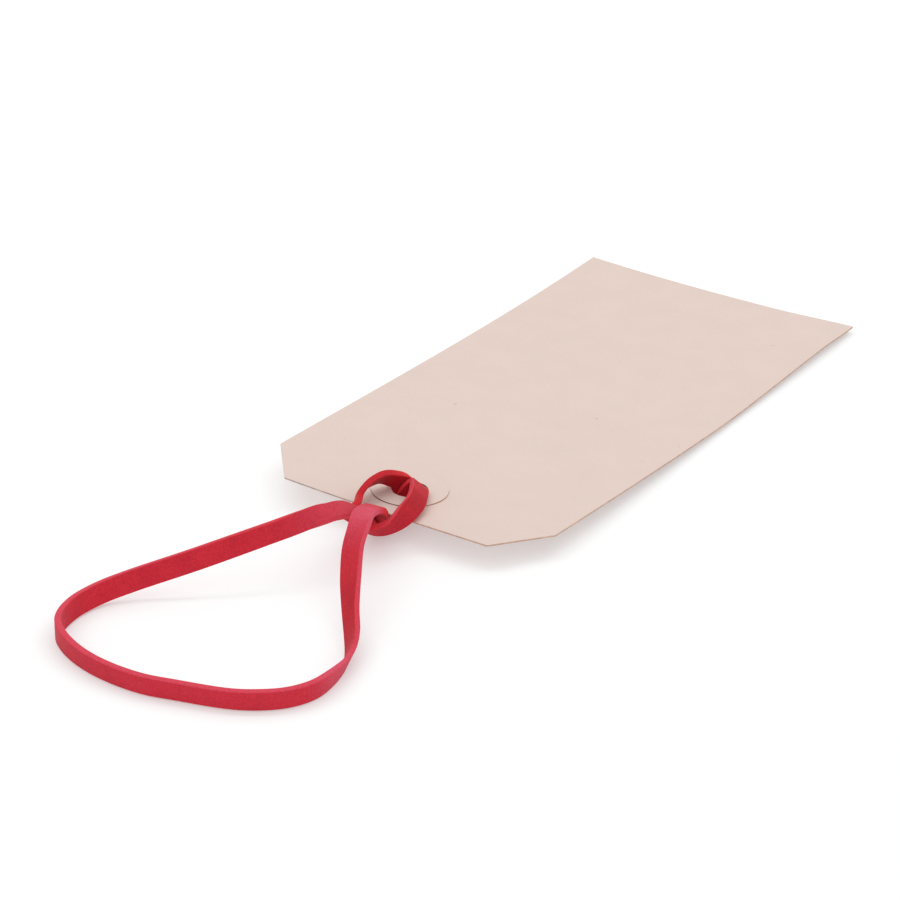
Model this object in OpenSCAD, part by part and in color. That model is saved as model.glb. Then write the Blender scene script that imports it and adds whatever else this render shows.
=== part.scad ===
// Strung manila tag: a bent paper card with a patched hole and one flat rubber band,
// hitched through the hole and lying as an open loop in front of the card.

/* [Card] */
// Length of the card
card_l = 120; // [100:1:200]
// Width of the card
card_w = 60; // [40:1:100]
// Thickness of the card stock
card_t = 0.3; // [0.2:0.05:0.5]
// Length of the cut corners along the card
corner_l = 10.8; // [4:0.2:20]
// Width of the cut corners across the card
corner_w = 8; // [4:0.2:14]
// Height of the underside of the hole end above the table
end_lift = 4.8; // [4.6:0.1:5]
// Distance from the plain end of the card to the line where it touches the table
touch_inset = 10; // [2:1:30]

/* [Hole and patches] */
// Distance from the hole end of the card to the middle of the hole
hole_inset = 10.4; // [10.2:0.1:10.6]
// Distance of the hole from the middle line of the card
hole_y = 1; // [0.8:0.1:1.2]
// Radius of the hole
hole_r = 3.4; // [3.3:0.1:4.5]
// Radius of the round patches glued around the hole
patch_r = 7.1; // [5.5:0.1:9]
// Thickness of one patch
patch_t = 0.25; // [0.1:0.05:0.3]

/* [Rubber band] */
// Width of the band
band_w = 3.8; // [2.8:0.1:3.8]
// Thickness of the band
band_t = 1.2; // [0.8:0.1:1.2]
// Size of the bevel along the band's corners
band_bevel = 0.25; // [0.1:0.05:0.35]
// Gap where the legs hinge on the hitch
hinge_gap = 0.5; // [0.3:0.1:0.9]
// Gap where the legs pass into the bow
bow_gap = 0.3; // [0.2:0.1:0.6]

/* [Hidden] */

// The card is a strip of a wide cylinder that touches the table along one line.
touch_x = card_l/2 - touch_inset;
bend_r = pow(card_l/2 + touch_x, 2)/(2*end_lift);
bend_sides = 2880;
prism_h = 4*end_lift;
hole_x = hole_inset - card_l/2;
paper_colour = [0.9, 0.82, 0.77];
rubber_colour = [0.77, 0.16, 0.24];

// The bow stands on its edge just clear of the table.
bow_z = band_w/2 + 0.2;

// Route of the band: middle of the section, measured from the middle of the card's hole end
// at table height, and the direction across its width.
ROUTE = [
    [[-67.4, -3.4, bow_z], [0.1, 0.03, -1]],
    [[-65, -12, bow_z], [0.1, 0.05, -1]],
    [[-62.3, -17.1, bow_z], [0.05, 0.05, -1]],
    [[-58.6, -21, bow_z], [0.05, 0.1, -1]],
    [[-53.7, -23.1, bow_z], [0, 0.15, -1]],
    [[-47.8, -22.9, bow_z], [0, 0.2, -0.97]],
    [[-41.7, -21.4, 2], [0, 0.45, -0.9]],
    [[-36.6, -18.5, 2.9], [0, 0.7, -0.7]],
    [[-31.9, -15, 4.7], [0, 0.8, -0.6]],
    [[-26, -11.1, 7.2], [-0.2, 0.8, -0.5]],
    [[-20.9, -8.1, 9.8], [-0.3, 0.8, -0.45]],
    [[-16.2, -6.2, 11.4], [-0.4, 0.9, -0.3]],
    [[-12.5, -4.4, 11.3], [-0.4, 0.9, 0]],
    [[-9.6, -3.6, 10.8], [-0.2, 1, 0]],
    [[-6.6, -3.1, 9.6], [-0.1, 1, 0]],
    [[-4.1, -2.1, 7], [0, 1, 0]],
    [[-2.1, -0.6, 4.8], [0, 1, 0]],
    [[-0.3, 0, 3.2], [0, 1, 0]],
    [[3, 0.6, 2.5], [0, 1, 0]],
    [[6.6, 0.8, 2.4], [-0.2, 1, 0]],
    [[8.6, 0.7, 2.8], [-0.5, 0.85, 0]],
    [[9.5, 0.6, 4.6], [-0.75, 0.65, 0]],
    [[10.3, -1, 6.1], [-0.35, 0.65, 0.6]],
    [[6.7, -3.4, 6.9], [-0.3, 0.65, 0.7]],
    [[3.3, -5, 6.95], [-0.25, 0.65, 0.7]],
    [[-0.9, -5.9, 6.9], [-0.3, 0.6, 0.7]],
    [[-4.2, -5.8, 6.4], [-0.4, 0.4, 0.8]],
    [[-7, -4.9, 6.2], [-0.5, 0, 0.8]],
    [[-9, -2.9, 6.5], [-0.6, -0.3, 0.7]],
    [[-8.8, 0.2, 7], [-0.75, -0.45, 0.5]],
    [[-6.2, 3.3, 6.4], [-0.85, -0.45, 0.35]],
    [[-2, 4.2, 6.5], [-0.7, -0.5, 0.5]],
    [[0.2, 4.7, 7.6], [-0.5, -0.55, 0.65]],
    [[3.1, 4.8, 8.3], [-0.4, -0.6, 0.65]],
    [[6.4, 4.3, 8.1], [-0.45, -0.5, 0.7]],
    [[8.9, 3.4, 6.9], [-0.3, -0.3, 0.8]],
    [[10.3, 2.6, 5.6], [0.3, -0.3, 0.8]],
    [[11.2, 2.2, 4.3], [0.75, -0.65, 0]],
    [[11.1, 2.1, 2.9], [0.6, -0.8, 0]],
    [[10.1, 1.8, 1.5], [0.3, -0.95, 0]],
    [[8, 1.4, 0.8], [0.1, -1, 0]],
    [[4, 1, 0.8], [0, -1, 0]],
    [[0, 0.9, 1.4], [0, -1, 0]],
    [[-3, 0.7, 3], [0, -1, 0]],
    [[-4.7, 0, 5.3], [-0.2, -1, 0]],
    [[-6.4, 0.2, 7.6], [-0.25, -1, 0]],
    [[-8.5, 0.6, 9.4], [-0.35, -0.95, 0]],
    [[-11.6, 0.3, 10.7], [-0.55, -0.8, -0.2]],
    [[-15.2, 0.6, 11.7], [-0.65, -0.7, -0.25]],
    [[-19, 2.6, 11.5], [-0.4, -0.4, -0.75]],
    [[-25, 6.2, 10.4], [0, -0.15, -1]],
    [[-35, 15, 7], [-0.05, -0.3, -0.95]],
    [[-43, 23.5, 3.7], [-0.05, -0.3, -0.95]],
    [[-48.5, 27.3, 2.3], [0, -0.25, -0.97]],
    [[-54.9, 28.1, bow_z], [0, -0.15, -1]],
    [[-60.9, 26.5, bow_z], [0, 0, -1]],
    [[-64.7, 22.5, bow_z], [0.05, 0, -1]],
    [[-67.5, 16.4, bow_z], [0.1, 0, -1]],
    [[-68.8, 9.6, bow_z], [0.1, 0, -1]],
    [[-68.8, 2.6, bow_z], [0.1, 0, -1]]
];
route_n = len(ROUTE);

// Places along the route, in points, where one stretch of the band ends and the next begins.
front_bow_end = 5.5;
front_hinge = 11.7;
left_hinge = 47.4;
left_bow_end = 52.6;

// Smooth curve through the route's points, and the direction of the band along it.
function route_point(i) = ROUTE[(i + route_n) % route_n][0];
function route_across(i) = ROUTE[(i + route_n) % route_n][1];
function curve(a, b, c, d, t) =
    0.5*(2*b + (c - a)*t + (2*a - 5*b + 4*c - d)*t*t + (3*b - a - 3*c + d)*t*t*t);
function curve_slope(a, b, c, d, t) =
    0.5*((c - a) + 2*(2*a - 5*b + 4*c - d)*t + 3*(3*b - a - 3*c + d)*t*t);
function unit(v) = v/norm(v);
function middle(s) = let (i = floor(s))
    curve(route_point(i - 1), route_point(i), route_point(i + 1), route_point(i + 2), s - i);
function along(s) = let (i = floor(s))
    unit(curve_slope(route_point(i - 1), route_point(i), route_point(i + 1), route_point(i + 2), s - i));
function across(s) = let (
        i = floor(s),
        a = unit(route_across(i))*(1 - s + i) + unit(route_across(i + 1))*(s - i),
        t = along(s))
    unit(a - (a*t)*t);

// Length of band per point of the route, and the share of a point that a given gap takes.
probe = 0.01;
function length_per_point(s) = norm(middle(s + probe) - middle(s - probe))/(2*probe);
function step_for(s, gap) = gap/length_per_point(s);

// Section of the band: a rectangle with bevelled corners.
section = let (w = band_w/2, t = band_t/2, b = band_bevel)
    [[w, t - b], [w - b, t], [b - w, t], [-w, t - b], [-w, b - t], [b - w, -t], [w - b, -t], [w, b - t]];
section_n = len(section);

function ring(s) = let (c = middle(s), a = across(s), up = cross(along(s), a))
    [for (p = section) c + p[0]*a + p[1]*up];

// One stretch of the band between two places on the route, with closed ends.
module band(from, to, per_point = 3) {
    steps = ceil((to - from)*per_point);
    points = [for (k = [0:steps]) each ring(from + (to - from)*k/steps)];
    walls = [for (k = [0:steps - 1], j = [0:section_n - 1])
        let (a = k*section_n + j, b = k*section_n + (j + 1) % section_n)
        each [[a, b, b + section_n], [a, b + section_n, a + section_n]]];
    first_cap = [for (j = [1:section_n - 2]) [0, j + 1, j]];
    last = steps*section_n;
    last_cap = [for (j = [1:section_n - 2]) [last, last + j, last + j + 1]];
    translate([-card_l/2, 0, 0])
        polyhedron(points, concat(walls, first_cap, last_cap), convexity = 10);
}

// Layer of the bent sheet between two heights above the underside of the card.
module bent_layer(low, high) {
    translate([touch_x, 0, bend_r])
        rotate([90, 0, 0])
            difference() {
                cylinder(r = bend_r - low, h = 2*card_w, center = true, $fn = bend_sides);
                cylinder(r = bend_r - high, h = 3*card_w, center = true, $fn = bend_sides);
            }
}

module hole_cut() {
    translate([hole_x, hole_y, -prism_h])
        cylinder(r = hole_r, h = 3*prism_h, $fn = 96);
}

// Round layer of paper around the hole, glued to the card.
module patch(low, high) {
    difference() {
        intersection() {
            translate([hole_x, hole_y, -prism_h])
                cylinder(r = patch_r, h = 3*prism_h, $fn = 128);
            bent_layer(low, high);
        }
        hole_cut();
    }
}

module tag_card() {
    half_l = card_l/2;
    half_w = card_w/2;
    outline = [
        [-half_l, corner_w - half_w], [corner_l - half_l, -half_w], [half_l, -half_w],
        [half_l, half_w], [corner_l - half_l, half_w], [-half_l, half_w - corner_w]
    ];
    color(paper_colour)
        difference() {
            intersection() {
                translate([0, 0, -prism_h])
                    linear_extrude(3*prism_h)
                        polygon(outline);
                bent_layer(0, card_t);
            }
            hole_cut();
        }
}

module front_patch() {
    color(paper_colour)
        patch(card_t, card_t + patch_t);
}

module back_patch() {
    color(paper_colour)
        patch(-patch_t, 0);
}

module band_hitch() {
    color(rubber_colour)
        band(front_hinge, left_hinge, 4);
}

module band_left_leg() {
    from = left_hinge + step_for(left_hinge, hinge_gap);
    color(rubber_colour)
        band(from, left_bow_end);
}

module band_front_leg() {
    to = front_hinge - step_for(front_hinge, hinge_gap);
    color(rubber_colour)
        band(front_bow_end, to);
}

module band_bow() {
    from = left_bow_end + step_for(left_bow_end, bow_gap);
    to = route_n + front_bow_end - step_for(front_bow_end, bow_gap);
    color(rubber_colour)
        band(from, to);
}

tag_card();
front_patch();
back_patch();
band_hitch();
band_left_leg();
band_front_leg();
band_bow();
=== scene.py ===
import math

import bpy
import numpy as np
from mathutils import Matrix, Vector
from mathutils.geometry import delaunay_2d_cdt


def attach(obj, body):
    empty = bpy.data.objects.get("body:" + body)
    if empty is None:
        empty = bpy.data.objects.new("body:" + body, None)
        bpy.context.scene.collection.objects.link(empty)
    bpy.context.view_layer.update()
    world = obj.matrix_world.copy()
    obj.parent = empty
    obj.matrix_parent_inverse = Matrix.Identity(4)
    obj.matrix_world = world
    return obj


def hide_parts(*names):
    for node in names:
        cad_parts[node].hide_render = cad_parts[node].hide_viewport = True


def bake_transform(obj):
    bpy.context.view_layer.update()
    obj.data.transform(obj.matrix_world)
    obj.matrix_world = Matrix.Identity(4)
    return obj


# Sizes, in millimetres. Positions along the card count from its middle, as in the CAD part.
MM = 0.001
CARD_L = 120.0
CARD_W = 60.0
CARD_T = 0.3
LEFT_CORNER = (10.65, 8.5)
RIGHT_CORNER = (11.05, 7.45)
HOLE = (-49.6, 1.0)
HOLE_R = 3.4
PATCH_R = 7.1
PATCH_T = 0.2
BAND_W = 3.8
BAND_T = 1.2
BAND_ROUND = 0.2

# Form of the card's underside, as heights in millimetres. The factors go with rising powers of u or v,
# which run from -1 to 1 along and across the card. Those of the twist go with u v, u v v and u u v.
LENGTHWISE = (1.34, -2.98, 1.17, 0.6)
CROSSWISE = (0.0, 0.41, 0.47, 0.16)
TWIST = (-0.35, 0.03, -0.3)
RIGHT_EDGE_RISE = 0.95

# How the hole squeezes the band, in millimetres: the room left to its wall, and how far above and below
# the patches and how far beyond its radius it still acts.
HOLE_CLEARANCE = 0.08
SQUEEZE_ABOVE = 0.45
SQUEEZE_BESIDE = 0.9

# Fineness of the meshes: lengths in millimetres, and numbers of points and rings.
CARD_STEP = 1.5
GRID_INSET = 1.0
GRID_MARGIN = 0.7
HOLE_POINTS = 72
PATCH_POINTS = 96
PATCH_RINGS = 6
TINY = 1e-6

# Route of the band, as in the CAD part: the middle of its section, measured from the middle of the
# card's hole end at table height, and the direction across its width.
BOW_Z = 2.1
ROUTE = [
    ((-67.4, -3.4, BOW_Z), (0.1, 0.03, -1)),
    ((-65, -12, BOW_Z), (0.1, 0.05, -1)),
    ((-62.3, -17.1, BOW_Z), (0.05, 0.05, -1)),
    ((-58.6, -21, BOW_Z), (0.05, 0.1, -1)),
    ((-53.7, -23.1, BOW_Z), (0, 0.15, -1)),
    ((-47.8, -22.9, BOW_Z), (0, 0.2, -0.97)),
    ((-41.7, -21.4, 2), (0, 0.45, -0.9)),
    ((-36.6, -18.5, 2.9), (0, 0.7, -0.7)),
    ((-31.9, -15, 4.7), (0, 0.8, -0.6)),
    ((-26, -11.1, 7.2), (-0.2, 0.8, -0.5)),
    ((-20.9, -8.1, 9.8), (-0.3, 0.8, -0.45)),
    ((-16.2, -6.2, 11.4), (-0.4, 0.9, -0.3)),
    ((-12.5, -4.4, 11.3), (-0.4, 0.9, 0)),
    ((-9.6, -3.6, 10.8), (-0.2, 1, 0)),
    ((-6.6, -3.1, 9.6), (-0.1, 1, 0)),
    ((-4.1, -2.1, 7), (0, 1, 0)),
    ((-2.1, -0.6, 4.8), (0, 1, 0)),
    ((-0.3, 0, 3.2), (0, 1, 0)),
    ((3, 0.6, 2.5), (0, 1, 0)),
    ((6.6, 0.8, 2.4), (-0.2, 1, 0)),
    ((8.6, 0.7, 2.8), (-0.5, 0.85, 0)),
    ((9.5, 0.6, 4.6), (-0.75, 0.65, 0)),
    ((10.3, -1, 6.1), (-0.35, 0.65, 0.6)),
    ((6.7, -3.4, 6.9), (-0.3, 0.65, 0.7)),
    ((3.3, -5, 6.95), (-0.25, 0.65, 0.7)),
    ((-0.9, -5.9, 6.9), (-0.3, 0.6, 0.7)),
    ((-4.2, -5.8, 6.4), (-0.4, 0.4, 0.8)),
    ((-7, -4.9, 6.2), (-0.5, 0, 0.8)),
    ((-9, -2.9, 6.5), (-0.6, -0.3, 0.7)),
    ((-8.8, 0.2, 7), (-0.75, -0.45, 0.5)),
    ((-6.2, 3.3, 6.4), (-0.85, -0.45, 0.35)),
    ((-2, 4.2, 6.5), (-0.7, -0.5, 0.5)),
    ((0.2, 4.7, 7.6), (-0.5, -0.55, 0.65)),
    ((3.1, 4.8, 8.3), (-0.4, -0.6, 0.65)),
    ((6.4, 4.3, 8.1), (-0.45, -0.5, 0.7)),
    ((8.9, 3.4, 6.9), (-0.3, -0.3, 0.8)),
    ((10.3, 2.6, 5.6), (0.3, -0.3, 0.8)),
    ((11.2, 2.2, 4.3), (0.75, -0.65, 0)),
    ((11.1, 2.1, 2.9), (0.6, -0.8, 0)),
    ((10.1, 1.8, 1.5), (0.3, -0.95, 0)),
    ((8, 1.4, 0.8), (0.1, -1, 0)),
    ((4, 1, 0.8), (0, -1, 0)),
    ((0, 0.9, 1.4), (0, -1, 0)),
    ((-3, 0.7, 3), (0, -1, 0)),
    ((-4.7, 0, 5.3), (-0.2, -1, 0)),
    ((-6.4, 0.2, 7.6), (-0.25, -1, 0)),
    ((-8.5, 0.6, 9.4), (-0.35, -0.95, 0)),
    ((-11.6, 0.3, 10.7), (-0.55, -0.8, -0.2)),
    ((-15.2, 0.6, 11.7), (-0.65, -0.7, -0.25)),
    ((-19, 2.6, 11.5), (-0.4, -0.4, -0.75)),
    ((-25, 6.2, 10.4), (0, -0.15, -1)),
    ((-35, 15, 7), (-0.05, -0.3, -0.95)),
    ((-43, 23.5, 3.7), (-0.05, -0.3, -0.95)),
    ((-48.5, 27.3, 2.3), (0, -0.25, -0.97)),
    ((-54.9, 28.1, BOW_Z), (0, -0.15, -1)),
    ((-60.9, 26.5, BOW_Z), (0, 0, -1)),
    ((-64.7, 22.5, BOW_Z), (0.05, 0, -1)),
    ((-67.5, 16.4, BOW_Z), (0.1, 0, -1)),
    ((-68.8, 9.6, BOW_Z), (0.1, 0, -1)),
    ((-68.8, 2.6, BOW_Z), (0.1, 0, -1)),
]

# Places along the route, in points, where the knot's mesh meets the loop's mesh on each leg.
KNOT_FROM = 10.0
KNOT_TO = 49.25

# Colours, as linear red, green and blue. A pair is the darker and the lighter end of a mottle.
BUFF = ((0.657, 0.534, 0.479), (0.677, 0.55, 0.494))
SPECK_BROWN = (0.47, 0.36, 0.29)
# DEEP_RED and BRIGHT_RED are the shaded and the lit ends of the painted light and shade along the band.
DEEP_RED = ((0.395, 0.0105, 0.0195), (0.45, 0.015, 0.0255))
BRIGHT_RED = ((0.53, 0.0125, 0.0245), (0.6, 0.018, 0.0315))
# Painted highlight: a lighter red on the band's edges.
RIM_HIGHLIGHT_RED = (0.6, 0.024, 0.034)
# Painted sheen: a pale pink where the rubber turns up towards the light.
PAINTED_SHEEN_PINK = (0.62, 0.075, 0.125)
SHEEN_PINK = (1.0, 0.72, 0.8)
TABLE_WHITE = ((0.5, 0.55, 0.545), (0.505, 0.555, 0.55))
# Painted light: the floor glow's pink tint stands for light bounced from the red band into the shade; the
# greenish white of the top offsets it in the open.
PAINTED_BOUNCE_GLOW = (1.0, 0.905, 0.915)

# Colours of the cut edges, right of the hole and left of it, and where along Y they change, in millimetres.
# The patch edge's colours are partly its brown cut edge and partly painted shade along its near rim,
# darkest left of the hole.
CARD_EDGE = ((0.52, 0.345, 0.262), (0.46, 0.38, 0.34))
PATCH_EDGE_AND_SHADE = ((0.42, 0.2, 0.1), (0.16, 0.08, 0.05))
EDGE_CHANGE = (-6.0, 8.0)

# View of the photo: a 900 pixel square image, focal length in pixels, and the aim in millimetres.
IMAGE_PX = 900
FOCAL_PX = 4691.6
SENSOR = 36.0
AIM = (-25.65, 8.09, 0.35)
DISTANCE = 876.65
AZIMUTH = -56.47
ELEVATION = 27.57

# Light and floor: lengths in millimetres, the strip's power in watts, and strengths as Blender counts them.
# The strip leans away from the camera by a share of its height.
STRIP_AIM = (-40.0, 0.0, 0.0)
STRIP_LEAN = 0.21
STRIP_DISTANCE = 800.0
STRIP_SIZE = (1400.0, 120.0)
STRIP_POWER = 2.0
SURROUND_LIGHT = 0.95
SURROUND_SEEN = 1.0
FLOOR_HALF = 3000.0
FLOOR_GLOW = 0.31
OPEN_FLOOR_GLOW = 0.15
CONTACT_REACH = 5.0


def rising(value, start, length):
    """Rises smoothly from 0 at a start to 1 a length further on."""
    t = np.clip((value - start) / length, 0.0, 1.0)
    return t * t * (3.0 - 2.0 * t)


def falling(value, end, length):
    """Falls smoothly from 1 to 0 over a length that stops at an end."""
    return rising(-value, -end, length)


def unit(v):
    return v / np.linalg.norm(v, axis=-1, keepdims=True)


def metres(point):
    return tuple(c * MM for c in point)


# Materials

def rgba(colour):
    return (*colour, 1.0)


class Nodes:
    """Node tree of a new material, with short ways to add and join nodes."""

    def __init__(self, name):
        self.material = bpy.data.materials.new(name)
        self.material.use_nodes = True
        self.tree = self.material.node_tree
        self.surface = self.tree.nodes["Principled BSDF"]

    def add(self, kind, **settings):
        node = self.tree.nodes.new(kind)
        for key, value in settings.items():
            setattr(node, key, value)
        return node

    def join(self, output, target):
        self.tree.links.new(output, target)

    def colour(self, output):
        self.join(output, self.surface.inputs["Base Color"])

    def place(self, attribute=None):
        """Place on the piece at rest, in metres."""
        if attribute is None:
            return self.add("ShaderNodeTexCoord").outputs["Object"]
        return self.add("ShaderNodeAttribute", attribute_name=attribute).outputs["Vector"]

    def share(self, attribute):
        """Share from 0 to 1 that the mesh carries under a name."""
        return self.add("ShaderNodeAttribute", attribute_name=attribute).outputs["Fac"]

    def noise(self, where, scale, detail, roughness=0.5):
        """Cloudy noise with about as many waves per metre as its scale says."""
        node = self.add("ShaderNodeTexNoise")
        node.inputs["Scale"].default_value = scale
        node.inputs["Detail"].default_value = detail
        node.inputs["Roughness"].default_value = roughness
        self.join(where, node.inputs["Vector"])
        return node.outputs["Fac"]

    def ramp(self, value, first, second):
        """Colour ramp between two stops, each a position and a colour."""
        node = self.add("ShaderNodeValToRGB")
        for element, (position, colour) in zip(node.color_ramp.elements, (first, second)):
            element.position = position
            element.color = rgba(colour)
        self.join(value, node.inputs["Fac"])
        return node.outputs["Color"]

    def mottle(self, value, colours):
        """Soft change between a darker and a lighter colour."""
        dark, light = colours
        return self.ramp(value, (0.3, dark), (0.7, light))

    def greys(self, value, first, second):
        """Ramp between two stops, each a position and a grey level."""
        stops = [(position, (level, level, level)) for position, level in (first, second)]
        return self.ramp(value, *stops)

    def mix(self, factor, first, second, blend="MIX"):
        """Mix of two colours. The numbers are the colour sockets of Blender's Mix node."""
        node = self.add("ShaderNodeMix", data_type="RGBA", blend_type=blend)
        for value, number in ((factor, 0), (first, 6), (second, 7)):
            socket = node.inputs[number]
            if isinstance(value, bpy.types.NodeSocket):
                self.join(value, socket)
            else:
                socket.default_value = value
        return node.outputs[2]

    def bump(self, height, strength, depth_mm):
        node = self.add("ShaderNodeBump")
        node.inputs["Strength"].default_value = strength
        node.inputs["Distance"].default_value = depth_mm * MM
        self.join(height, node.inputs["Height"])
        self.join(node.outputs["Normal"], self.surface.inputs["Normal"])

    def set(self, **values):
        for name, value in values.items():
            self.surface.inputs[name.replace("_", " ")].default_value = value


def card_material():
    """Buff tag stock: a soft cloudy mottle, a fine tooth and a few stray specks."""
    nodes = Nodes("card_stock")
    where = nodes.place()
    base = nodes.mottle(nodes.noise(where, scale=160.0, detail=4.0), BUFF)
    tooth = nodes.noise(where, scale=2200.0, detail=2.0)
    toothed = nodes.mix(0.1, base, nodes.greys(tooth, (0.3, 0.4), (0.7, 0.6)), "OVERLAY")
    stray = nodes.noise(where, scale=900.0, detail=2.0)
    specks = nodes.greys(stray, (0.77, 0.0), (0.8, 1.0))
    nodes.colour(nodes.mix(specks, toothed, rgba(SPECK_BROWN)))
    nodes.set(Roughness=0.85, Specular_IOR_Level=0.2)
    nodes.bump(tooth, strength=0.15, depth_mm=0.02)
    return nodes.material


def edge_material(name, colours):
    """Cut edge of the paper, a little uneven, with one colour right of the hole and another left of it."""
    right, left = colours
    nodes = Nodes(name)
    where = nodes.place()
    apart = nodes.add("ShaderNodeSeparateXYZ")
    nodes.join(where, apart.inputs["Vector"])
    side = nodes.add("ShaderNodeMapRange", interpolation_type="SMOOTHSTEP")
    side.inputs["From Min"].default_value, side.inputs["From Max"].default_value = metres(EDGE_CHANGE)
    nodes.join(apart.outputs["Y"], side.inputs["Value"])
    colour = nodes.mix(side.outputs["Result"], rgba(right), rgba(left))
    fibre = nodes.noise(where, scale=700.0, detail=3.0)
    nodes.colour(nodes.mix(0.4, colour, nodes.greys(fibre, (0.35, 0.3), (0.65, 0.7)), "OVERLAY"))
    nodes.set(Roughness=0.9, Specular_IOR_Level=0.15)
    nodes.bump(fibre, strength=0.2, depth_mm=0.03)
    return nodes.material


def rubber_material():
    """Dull red rubber with a fine grain and a velvety shader sheen, plus painted light and shade: a
    brightness that changes along the route, a painted highlight on the edges and a painted pale sheen on
    the folds.
    """
    nodes = Nodes("band_rubber")
    where = nodes.place("rest_place")
    cloud = nodes.noise(where, scale=260.0, detail=3.0)
    # Painted light and shade: the tone share mixes the deeper and the brighter red along the route.
    red = nodes.mix(nodes.share("tone"), nodes.mottle(cloud, DEEP_RED), nodes.mottle(cloud, BRIGHT_RED))
    # Painted highlight: the rim share mixes a lighter red onto the band's edges.
    with_rim_highlight = nodes.mix(nodes.share("rim"), red, rgba(RIM_HIGHLIGHT_RED))
    # Painted sheen: the bloom share mixes in a pale pink.
    with_painted_sheen = nodes.mix(nodes.share("bloom"), with_rim_highlight, rgba(PAINTED_SHEEN_PINK))
    grain = nodes.noise(where, scale=2600.0, detail=3.0, roughness=0.7)
    nodes.colour(nodes.mix(0.42, with_painted_sheen, nodes.greys(grain, (0.3, 0.25), (0.72, 0.75)), "OVERLAY"))
    nodes.set(Roughness=0.6, Specular_IOR_Level=0.1)
    nodes.set(Sheen_Weight=0.03, Sheen_Roughness=0.45, Sheen_Tint=rgba(SHEEN_PINK))
    nodes.bump(grain, strength=0.25, depth_mm=0.03)
    return nodes.material


def floor_material():
    """White tabletop with a barely visible tone and a painted glow, which fades into painted shade close to
    what lies on it; the glow's pink tint is painted light bounced from the red band.
    """
    nodes = Nodes("tabletop")
    nodes.colour(nodes.mottle(nodes.noise(nodes.place(), scale=6.0, detail=2.0), TABLE_WHITE))
    nodes.set(Roughness=1.0, Specular_IOR_Level=0.0, Emission_Color=rgba(PAINTED_BOUNCE_GLOW))
    # Painted contact shade: the glow fades where things lie within reach above the floor.
    openness = nodes.add("ShaderNodeAmbientOcclusion", samples=8)
    openness.inputs["Distance"].default_value = CONTACT_REACH * MM
    glow = nodes.add("ShaderNodeMath", operation="MULTIPLY_ADD")
    glow.inputs[1].default_value = OPEN_FLOOR_GLOW
    glow.inputs[2].default_value = FLOOR_GLOW
    nodes.join(openness.outputs["AO"], glow.inputs[0])
    nodes.join(glow.outputs[0], nodes.surface.inputs["Emission Strength"])
    return nodes.material


# Mesh helpers

def new_object(name, points_mm, faces, materials, face_material=None, sharp_deg=35.0):
    mesh = bpy.data.meshes.new(name)
    mesh.from_pydata([tuple(p) for p in np.asarray(points_mm) * MM], [], faces)
    for material in materials:
        mesh.materials.append(material)
    if face_material is not None:
        mesh.polygons.foreach_set("material_index", face_material)
    mesh.shade_smooth()
    mesh.set_sharp_from_angle(angle=math.radians(sharp_deg))
    mesh.update()
    obj = bpy.data.objects.new(name, mesh)
    bpy.context.scene.collection.objects.link(obj)
    return obj


def circle(centre, radius, count):
    angle = np.linspace(0.0, 2.0 * math.pi, count, endpoint=False)
    return np.stack([centre[0] + radius * np.cos(angle), centre[1] + radius * np.sin(angle)], 1)


# The card

def power_sum(t, factors):
    return sum(factor * t**power for power, factor in enumerate(factors))


def underside(x, y):
    """Height of the card's underside: it bows up towards the hole end and is slightly twisted."""
    u = x / (CARD_L / 2)
    v = y / (CARD_W / 2)
    uv, uvv, uuv = TWIST
    twist = uv * u * v + uvv * u * v**2 + uuv * u**2 * v
    raised = rising(u, 0.1, 0.65) * rising(-v, 0.4, 0.6)
    near_corner = rising(u, 0.8, 0.2)
    right_edge = RIGHT_EDGE_RISE * raised * (1.0 - 0.6 * near_corner)
    return power_sum(u, LENGTHWISE) + power_sum(v, CROSSWISE) + twist + right_edge


def card_outline():
    """Points round the card's edge, with its two clipped corners at the hole end."""
    half_l = CARD_L / 2
    half_w = CARD_W / 2
    corners = np.array([
        (-half_l, RIGHT_CORNER[1] - half_w), (RIGHT_CORNER[0] - half_l, -half_w), (half_l, -half_w),
        (half_l, half_w), (LEFT_CORNER[0] - half_l, half_w), (-half_l, half_w - LEFT_CORNER[1]),
    ])
    points = []
    for start, end in zip(corners, np.roll(corners, -1, 0)):
        count = max(1, int(np.linalg.norm(end - start) / CARD_STEP))
        points += [start + (end - start) * k / count for k in range(count)]
    return np.array(points)


def inside_card(points, margin):
    """Which points lie inside the outline and outside the hole by a margin."""
    x, y = points[:, 0], points[:, 1]
    half_l = CARD_L / 2 - margin
    half_w = CARD_W / 2 - margin
    keep = (np.abs(x) < half_l) & (np.abs(y) < half_w)
    for side, (along, across) in ((1, LEFT_CORNER), (-1, RIGHT_CORNER)):
        cut = (x + CARD_L / 2) / along + (CARD_W / 2 - side * y) / across - 1.0
        keep &= cut * along * across / math.hypot(along, across) > margin
    return keep & (np.hypot(x - HOLE[0], y - HOLE[1]) > HOLE_R + margin)


def card_plan():
    """The card seen flat: points and triangles of a fine mesh cut to the outline and the hole."""
    rim = card_outline()
    hole = circle(HOLE, HOLE_R, HOLE_POINTS)[::-1]
    columns = np.arange(GRID_INSET - CARD_L / 2, CARD_L / 2, CARD_STEP)
    rows = np.arange(GRID_INSET - CARD_W / 2, CARD_W / 2, CARD_STEP)
    grid = np.array([(x, y) for x in columns for y in rows])
    flat = np.concatenate([rim, hole, grid[inside_card(grid, GRID_MARGIN)]])
    loops = [list(range(len(rim))), list(range(len(rim), len(rim) + len(hole)))]
    edges = [(loop[k], loop[(k + 1) % len(loop)]) for loop in loops for k in range(len(loop))]
    found = delaunay_2d_cdt([Vector(p) for p in flat], edges, [], 0, TINY)
    points = np.array([tuple(p) for p in found[0]])
    triangles = [list(f) for f in found[2] if math.dist(points[f].mean(0), HOLE) > HOLE_R]
    return points, triangles


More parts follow.
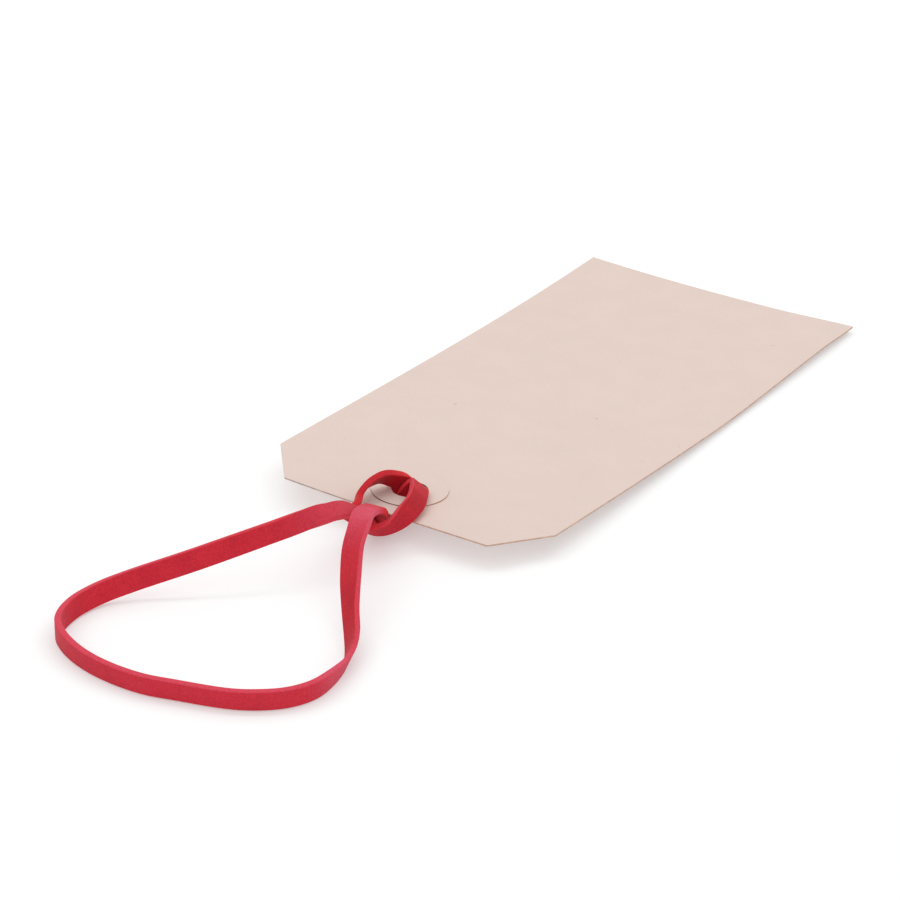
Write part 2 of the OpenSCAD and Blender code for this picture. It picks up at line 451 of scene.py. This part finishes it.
def card(paper, edge):
    """The card: its plan laid on the bowed surface, with an upper face, an underside and a cut edge."""
    flat, triangles = card_plan()
    count = len(flat)
    z = underside(flat[:, 0], flat[:, 1])
    points = np.concatenate([np.column_stack([flat, z + CARD_T]), np.column_stack([flat, z])])
    below = [[i + count for i in reversed(f)] for f in triangles]
    sides = set((f[k], f[(k + 1) % 3]) for f in triangles for k in range(3))
    walls = [[b, a, a + count, b + count] for a, b in sides if (b, a) not in sides]
    kinds = [0] * (2 * len(triangles)) + [1] * len(walls)
    return new_object("card", points, triangles + below + walls, [paper, edge], kinds)


def patch(name, paper, edge, low, high):
    """Paper ring glued around the hole, between two heights above the card's underside."""
    around = PATCH_POINTS
    rings = [circle(HOLE, r, around) for r in np.linspace(HOLE_R, PATCH_R, PATCH_RINGS)]
    layers = [(ring, high) for ring in rings] + [(ring, low) for ring in rings[::-1]]
    points = np.concatenate([
        np.column_stack([ring, underside(ring[:, 0], ring[:, 1]) + height]) for ring, height in layers
    ])
    faces = []
    kinds = []
    for k in range(len(layers)):
        after = (k + 1) % len(layers)
        wall = layers[k][1] != layers[after][1]
        for j in range(around):
            i = (j + 1) % around
            faces.append([k * around + j, after * around + j, after * around + i, k * around + i])
            kinds.append(1 if wall else 0)
    return new_object(name, points, faces, [paper, edge], kinds)


# The band

def smoothed(values):
    return (np.roll(values, 1, 0) + 2 * values + np.roll(values, -1, 0)) / 4


def route_samples(per_point=24, smoothing=6):
    """The whole band as close samples: route place, middle, across and along, lightly smoothed."""
    points = np.array([p for p, _ in ROUTE], float) + (-CARD_L / 2, 0.0, 0.0)
    across = unit(np.array([a for _, a in ROUTE], float))
    places = np.arange(len(ROUTE) * per_point) / per_point
    index = places.astype(int)
    t = (places - index)[:, None]
    a, b, c, d = (points[(index + k) % len(ROUTE)] for k in (-1, 0, 1, 2))
    middle = 0.5 * (
        2 * b + (c - a) * t
        + (2 * a - 5 * b + 4 * c - d) * t**2
        + (3 * b - a - 3 * c + d) * t**3
    )
    width = across[index] * (1 - t) + across[(index + 1) % len(ROUTE)] * t
    for _ in range(smoothing):
        middle = smoothed(middle)
        width = smoothed(width)
    along = unit(np.roll(middle, -1, 0) - np.roll(middle, 1, 0))
    width = unit(width - np.sum(width * along, 1, keepdims=True) * along)
    return places, middle, width, along


def band_stretch(start, end):
    """Samples from one place on the route to another: place, middle, across and through."""
    places, middle, width, along = route_samples()
    span = (places - start) % len(ROUTE)
    order = np.argsort(span)
    order = order[span[order] <= (end - start) % len(ROUTE) + TINY]
    return places[order], middle[order], width[order], np.cross(along[order], width[order])


def band_section(corner_steps=4, face_steps=6):
    """Points round the band's section: a rectangle with rounded corners, as (across, through)."""
    half_w = BAND_W / 2 - BAND_ROUND
    half_t = BAND_T / 2 - BAND_ROUND
    points = []
    for quarter, (right, up) in enumerate(((1, 1), (-1, 1), (-1, -1), (1, -1))):
        for k in range(corner_steps + 1):
            angle = math.pi / 2 * (quarter + k / corner_steps)
            across = right * half_w + BAND_ROUND * math.cos(angle)
            through = up * half_t + BAND_ROUND * math.sin(angle)
            points.append((across, through))
        if quarter % 2 == 0:
            face = [right * half_w * (1 - 2 * k / face_steps) for k in range(1, face_steps)]
            points += [(across, up * BAND_T / 2) for across in face]
    return np.array(points)


def within(place, start, end, rise, fall):
    """1 along a stretch of the route and 0 outside it, easing in and out over the given lengths."""
    return rising(place, start, rise) * falling(place, end, fall)


def from_bow(place):
    """Place counted from the middle of the bow, which runs on evenly where the route closes."""
    half = len(ROUTE) / 2
    return (place + half) % len(ROUTE) - half


def left_strand(place):
    """1 on the ring's left strand, which runs from the card's edge to the hole, and 0 elsewhere."""
    return within(place, 30.5, 35.0, 1.0, 1.0)


def painted_light_and_shade_along_route(place):
    """Painted light and shade along the route, as how bright the red is, from 0 for the deepest to 1 for
    the brightest: lighter on the left leg and bow, darker on the ring's strands and the front leg's foot.
    """
    left_leg = within(place, 48.5, 55.0, 1.5, 2.0)
    bow = within(from_bow(place), -3.0, 5.5, 3.0, 1.5)
    right_strand = within(place, 22.3, 28.5, 1.8, 1.5)
    foot = within(place, 6.0, 9.3, 1.5, 1.2)
    brighter = 0.45 * left_leg + 0.45 * bow
    deeper = 0.45 * right_strand + 0.35 * left_strand(place) + 0.35 * foot
    return 0.5 + brighter - deeper


def painted_rim_highlight(place, on_rim):
    """How far the band's edges carry a painted highlight red: less on the ring's left strand."""
    return on_rim * (1.0 - 0.55 * left_strand(place))[:, None]


def painted_sheen_along_route(place):
    """How strongly a painted pale sheen shows along the route: most where the legs fold up at the knot and
    face the light.
    """
    front_fold = within(place, 9.5, 14.0, 2.5, 1.5)
    left_fold = within(place, 45.5, 50.5, 1.5, 2.0)
    left_bend = within(place, 54.2, 56.4, 0.8, 0.8)
    bow = within(from_bow(place), -4.5, 4.5, 1.5, 1.5)
    twist = within(place, 3.3, 6.4, 1.6, 1.2)
    ring_foot = within(place, 25.0, 29.0, 1.5, 1.5)
    free_loop = falling(place, 12.0, 2.0) + rising(place, 46.0, 2.0)
    foot = within(place, 6.4, 9.3, 1.2, 1.2)
    folds = 0.74 * front_fold + 0.25 * left_fold + 0.1 * left_bend + 0.46 * twist
    return folds + 0.07 * bow + 0.08 * ring_foot + 0.12 * free_loop - 0.1 * foot


def painted_edge_highlight_lines(place, across, on_rim):
    """Painted highlight lines, paler, on two edges: inside the ring's right strand and along the top of the
    loop.
    """
    ring = within(place, 21.0, 28.0, 1.0, 3.0)
    loop = falling(place, 14.0, 1.0) + rising(place, 50.0, 2.0)
    return on_rim * np.where(across > 0, 0.35 * ring[:, None], 0.34 * loop[:, None])


def band_width(place, across):
    """Width along the route, as a share for each edge of the band.

    It necks where the ring is pulled tight round the legs, is pinched behind the left leg, at the card's
    edge and in the front twist, and spreads in the hole and on both legs.
    """
    pulled = within(place, 24.8, 31.0, 2.0, 2.0)
    pinched = within(place, 27.5, 31.2, 1.0, 1.0)
    at_card_edge = within(place, 30.6, 33.2, 0.8, 0.8)
    in_hole = within(place, 35.2, 37.8, 1.0, 1.0)
    left_leg = within(place, 49.0, 58.0, 2.0, 2.0)
    front_leg = within(place, 7.5, 13.0, 2.0, 2.0)
    twist = within(place, 4.2, 6.8, 1.2, 1.0)
    foot = within(place, 6.0, 9.0, 1.0, 1.2)
    even = 1.0 + 0.08 * front_leg - 0.3 * pulled
    first_edge = 0.3 * in_hole + 0.12 * left_leg - 0.42 * pinched - 0.2 * at_card_edge - 0.2 * twist
    second_edge = -0.16 * foot
    return even[:, None] + np.where(across < 0, first_edge[:, None], second_edge[:, None])


def band_depth(place, through):
    """Thickness along the route, as a share for each face: the inner face thins in the front twist."""
    twist = within(place, 4.2, 7.4, 1.2, 1.2)
    return 1.0 - np.where(through > 0, 0.55 * twist[:, None], 0.0)


def squeezed_by_hole(points):
    """Keeps the rubber inside the hole where it passes through the card and its patches."""
    limit = HOLE_R - HOLE_CLEARANCE
    top = CARD_T / 2 + PATCH_T + SQUEEZE_ABOVE
    side = HOLE_R + SQUEEZE_BESIDE
    outward = points[:, :2] - HOLE
    radius = np.linalg.norm(outward, axis=1)
    height = np.abs(points[:, 2] - underside(points[:, 0], points[:, 1]) - CARD_T / 2)
    near = falling(height, top, length=0.4) * falling(radius, side, length=0.5)
    spill = np.clip(radius - limit, 0.0, None) * near
    squeezed = points.copy()
    squeezed[:, :2] -= outward * (spill / np.maximum(radius, limit))[:, None]
    return squeezed


def tube_faces(rings, around):
    """Four-sided faces of an open tube, from its number of rings and of points in each."""
    faces = []
    for k in range(rings - 1):
        for j in range(around):
            i = (j + 1) % around
            faces.append([k * around + j, k * around + i, (k + 1) * around + i, (k + 1) * around + j])
    return faces


def add_share(obj, name, values):
    """Stores one number per mesh point under a name that the material reads."""
    share = obj.data.attributes.new(name, "FLOAT", "POINT")
    share.data.foreach_set("value", values.astype(np.float32).ravel())


def band_piece(name, start, end, rubber):
    """One stretch of the band between two places on the route, as an open tube, and its path in metres."""
    place, middle, width, through = band_stretch(start, end)
    section = band_section()
    across = section[:, 0]
    sideways = across * band_width(place, across)
    deep = section[:, 1] * band_depth(place, section[:, 1])
    rings = middle[:, None] + sideways[:, :, None] * width[:, None] + deep[:, :, None] * through[:, None]
    points = squeezed_by_hole(rings.reshape(-1, 3))
    faces = tube_faces(len(middle), len(section))
    obj = new_object(name, points, faces, [rubber], sharp_deg=60.0)
    rest = obj.data.attributes.new("rest_place", "FLOAT_VECTOR", "POINT")
    rest.data.foreach_set("vector", (points * MM).astype(np.float32).ravel())
    on_rim = rising(np.abs(across), BAND_W / 2 - BAND_ROUND, length=0.7 * BAND_ROUND)
    # Painted highlight on the edges, weaker on the ring's left strand.
    add_share(obj, "rim", painted_rim_highlight(place, on_rim))
    # Painted light and shade along the route.
    add_share(obj, "tone", np.repeat(painted_light_and_shade_along_route(place), len(section)))
    # Painted sheen along the route, and painted highlight lines on two edges.
    add_share(obj, "bloom", painted_sheen_along_route(place)[:, None] + painted_edge_highlight_lines(place, across, on_rim))
    return obj, middle * MM


# Camera, light and floor

def camera_axes():
    """Directions from the aim back to the camera, and to the right in the picture."""
    az = math.radians(AZIMUTH)
    el = math.radians(ELEVATION)
    back = Vector((math.sin(az) * math.cos(el), -math.cos(az) * math.cos(el), math.sin(el)))
    right = Vector((math.cos(az), math.sin(az), 0.0))
    return back, right


def put(name, data, location_mm, turn):
    """New object for a camera or light, at a place and with a turn given as a quaternion."""
    obj = bpy.data.objects.new(name, data)
    obj.location = location_mm * MM
    obj.rotation_mode = "QUATERNION"
    obj.rotation_quaternion = turn
    bpy.context.scene.collection.objects.link(obj)
    return obj


def make_camera():
    back, _ = camera_axes()
    data = bpy.data.cameras.new("camera")
    data.sensor_width = SENSOR
    data.lens = SENSOR * FOCAL_PX / IMAGE_PX
    data.clip_start = 0.01
    data.clip_end = 50.0
    turn = (-back).to_track_quat("-Z", "Y")
    bpy.context.scene.camera = put("camera", data, Vector(AIM) + DISTANCE * back, turn)


def make_strip_light():
    """A long strip light overhead, a little behind the tag, in line with the picture's width."""
    back, right = camera_axes()
    away = Vector((-back.x, -back.y, 0.0)).normalized()
    direction = (Vector((0.0, 0.0, 1.0)) + STRIP_LEAN * away).normalized()
    along = (right - right.dot(direction) * direction).normalized()
    turn = Matrix((along, direction.cross(along), direction)).transposed().to_quaternion()
    data = bpy.data.lights.new("strip", "AREA")
    data.shape = "RECTANGLE"
    data.size, data.size_y = metres(STRIP_SIZE)
    data.energy = STRIP_POWER
    put("strip", data, Vector(STRIP_AIM) + STRIP_DISTANCE * direction, turn)


def make_surround():
    """An even white surround, which the camera sees as plain white."""
    world = bpy.data.worlds.new("surround")
    world.use_nodes = True
    tree = world.node_tree
    light = tree.nodes["Background"]
    seen = tree.nodes.new("ShaderNodeBackground")
    for node, strength in ((light, SURROUND_LIGHT), (seen, SURROUND_SEEN)):
        node.inputs["Color"].default_value = (1.0, 1.0, 1.0, 1.0)
        node.inputs["Strength"].default_value = strength
    ray = tree.nodes.new("ShaderNodeLightPath")
    choose = tree.nodes.new("ShaderNodeMixShader")
    tree.links.new(ray.outputs["Is Camera Ray"], choose.inputs[0])
    tree.links.new(light.outputs[0], choose.inputs[1])
    tree.links.new(seen.outputs[0], choose.inputs[2])
    tree.links.new(choose.outputs[0], tree.nodes["World Output"].inputs["Surface"])
    bpy.context.scene.world = world


def make_floor():
    half = FLOOR_HALF
    points = [(-half, -half, 0.0), (half, -half, 0.0), (half, half, 0.0), (-half, half, 0.0)]
    floor = new_object("floor", points, [[0, 1, 2, 3]], [floor_material()])


# The scene

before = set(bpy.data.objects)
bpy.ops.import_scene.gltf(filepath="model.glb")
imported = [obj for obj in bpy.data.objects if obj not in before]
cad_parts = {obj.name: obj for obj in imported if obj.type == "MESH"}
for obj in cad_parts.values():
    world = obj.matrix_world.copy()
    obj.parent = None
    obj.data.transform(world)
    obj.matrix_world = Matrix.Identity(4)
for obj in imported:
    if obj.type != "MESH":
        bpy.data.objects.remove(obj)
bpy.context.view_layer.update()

paper = card_material()
card_edge = edge_material("card_edge", CARD_EDGE)
# Patch edge: brown cut edge with painted shade along the near rim.
patch_edge_and_shade = edge_material("patch_edge_and_shade", PATCH_EDGE_AND_SHADE)
rubber = rubber_material()

card_piece = card(paper, card_edge)
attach(card_piece, "tag")
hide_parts("tag_card")

for name, node, low, high in (
    ("front_ring", "front_patch", CARD_T, CARD_T + PATCH_T),
    ("back_ring", "back_patch", -PATCH_T, 0.0),
):
    ring = patch(name, paper, patch_edge_and_shade, low, high)
    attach(ring, "tag")
    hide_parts(node)

knot, _ = band_piece("knot", KNOT_FROM, KNOT_TO, rubber)
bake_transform(knot)
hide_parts("band_hitch")

loop, loop_path = band_piece("loop", KNOT_TO, KNOT_FROM, rubber)
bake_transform(loop)
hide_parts("band_left_leg", "band_front_leg", "band_bow")

make_floor()
make_strip_light()
make_surround()
make_camera()
bpy.context.scene.view_settings.view_transform = "Standard"
